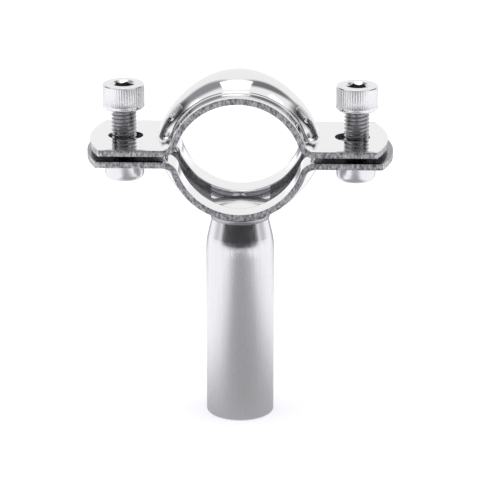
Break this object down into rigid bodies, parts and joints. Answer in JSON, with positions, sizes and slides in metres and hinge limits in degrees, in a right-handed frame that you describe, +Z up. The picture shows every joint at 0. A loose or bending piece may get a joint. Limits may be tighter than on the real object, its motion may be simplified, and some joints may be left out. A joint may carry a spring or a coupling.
{
  "type": "weld-mount pipe hanger",
  "caption": "Pipe hanger for a 40 mm tube: stamped upper and lower half bands with ears, socket-head screws in round nuts, welded on a necked tube stem.",
  "frame": {"origin": "centre of the stem's free end, on the plane that is welded to the supporting structure", "axes": "+Z up the stem's axis towards the held tube, +Y along the held tube, +X towards the right ear"},
  "size_m": [0.0974, 0.033, 0.1161],
  "materials": {
    "polished_sheet": "polished",
    "satin_tube": "satin",
    "weld_metal": "satin",
    "screw_steel": "satin",
    "turned_nut": "satin"
  },
  "bodies": {
    "base": {"lower_half_band": "polished_sheet", "stem_tube": "satin_tube", "stem_weld": "weld_metal", "left_round_nut": "turned_nut", "right_round_nut": "turned_nut"},
    "upper_half": {"upper_half_band": "polished_sheet"},
    "left_screw": {"left_cap_screw": "screw_steel"},
    "right_screw": {"right_cap_screw": "screw_steel"}
  },
  "joints": [
    {"name": "upper_half_lift", "type": "slide", "parent": "base", "child": "upper_half", "axis": [0, 0, 1], "range_m": [-0.0018, 0.04]},
    {"name": "left_screw_travel", "type": "slide", "parent": "upper_half", "child": "left_screw", "axis": [0, 0, 1], "range_m": [-0.0092, 0.012]},
    {"name": "right_screw_travel", "type": "slide", "parent": "upper_half", "child": "right_screw", "axis": [0, 0, 1], "range_m": [-0.0092, 0.012]}
  ]
}
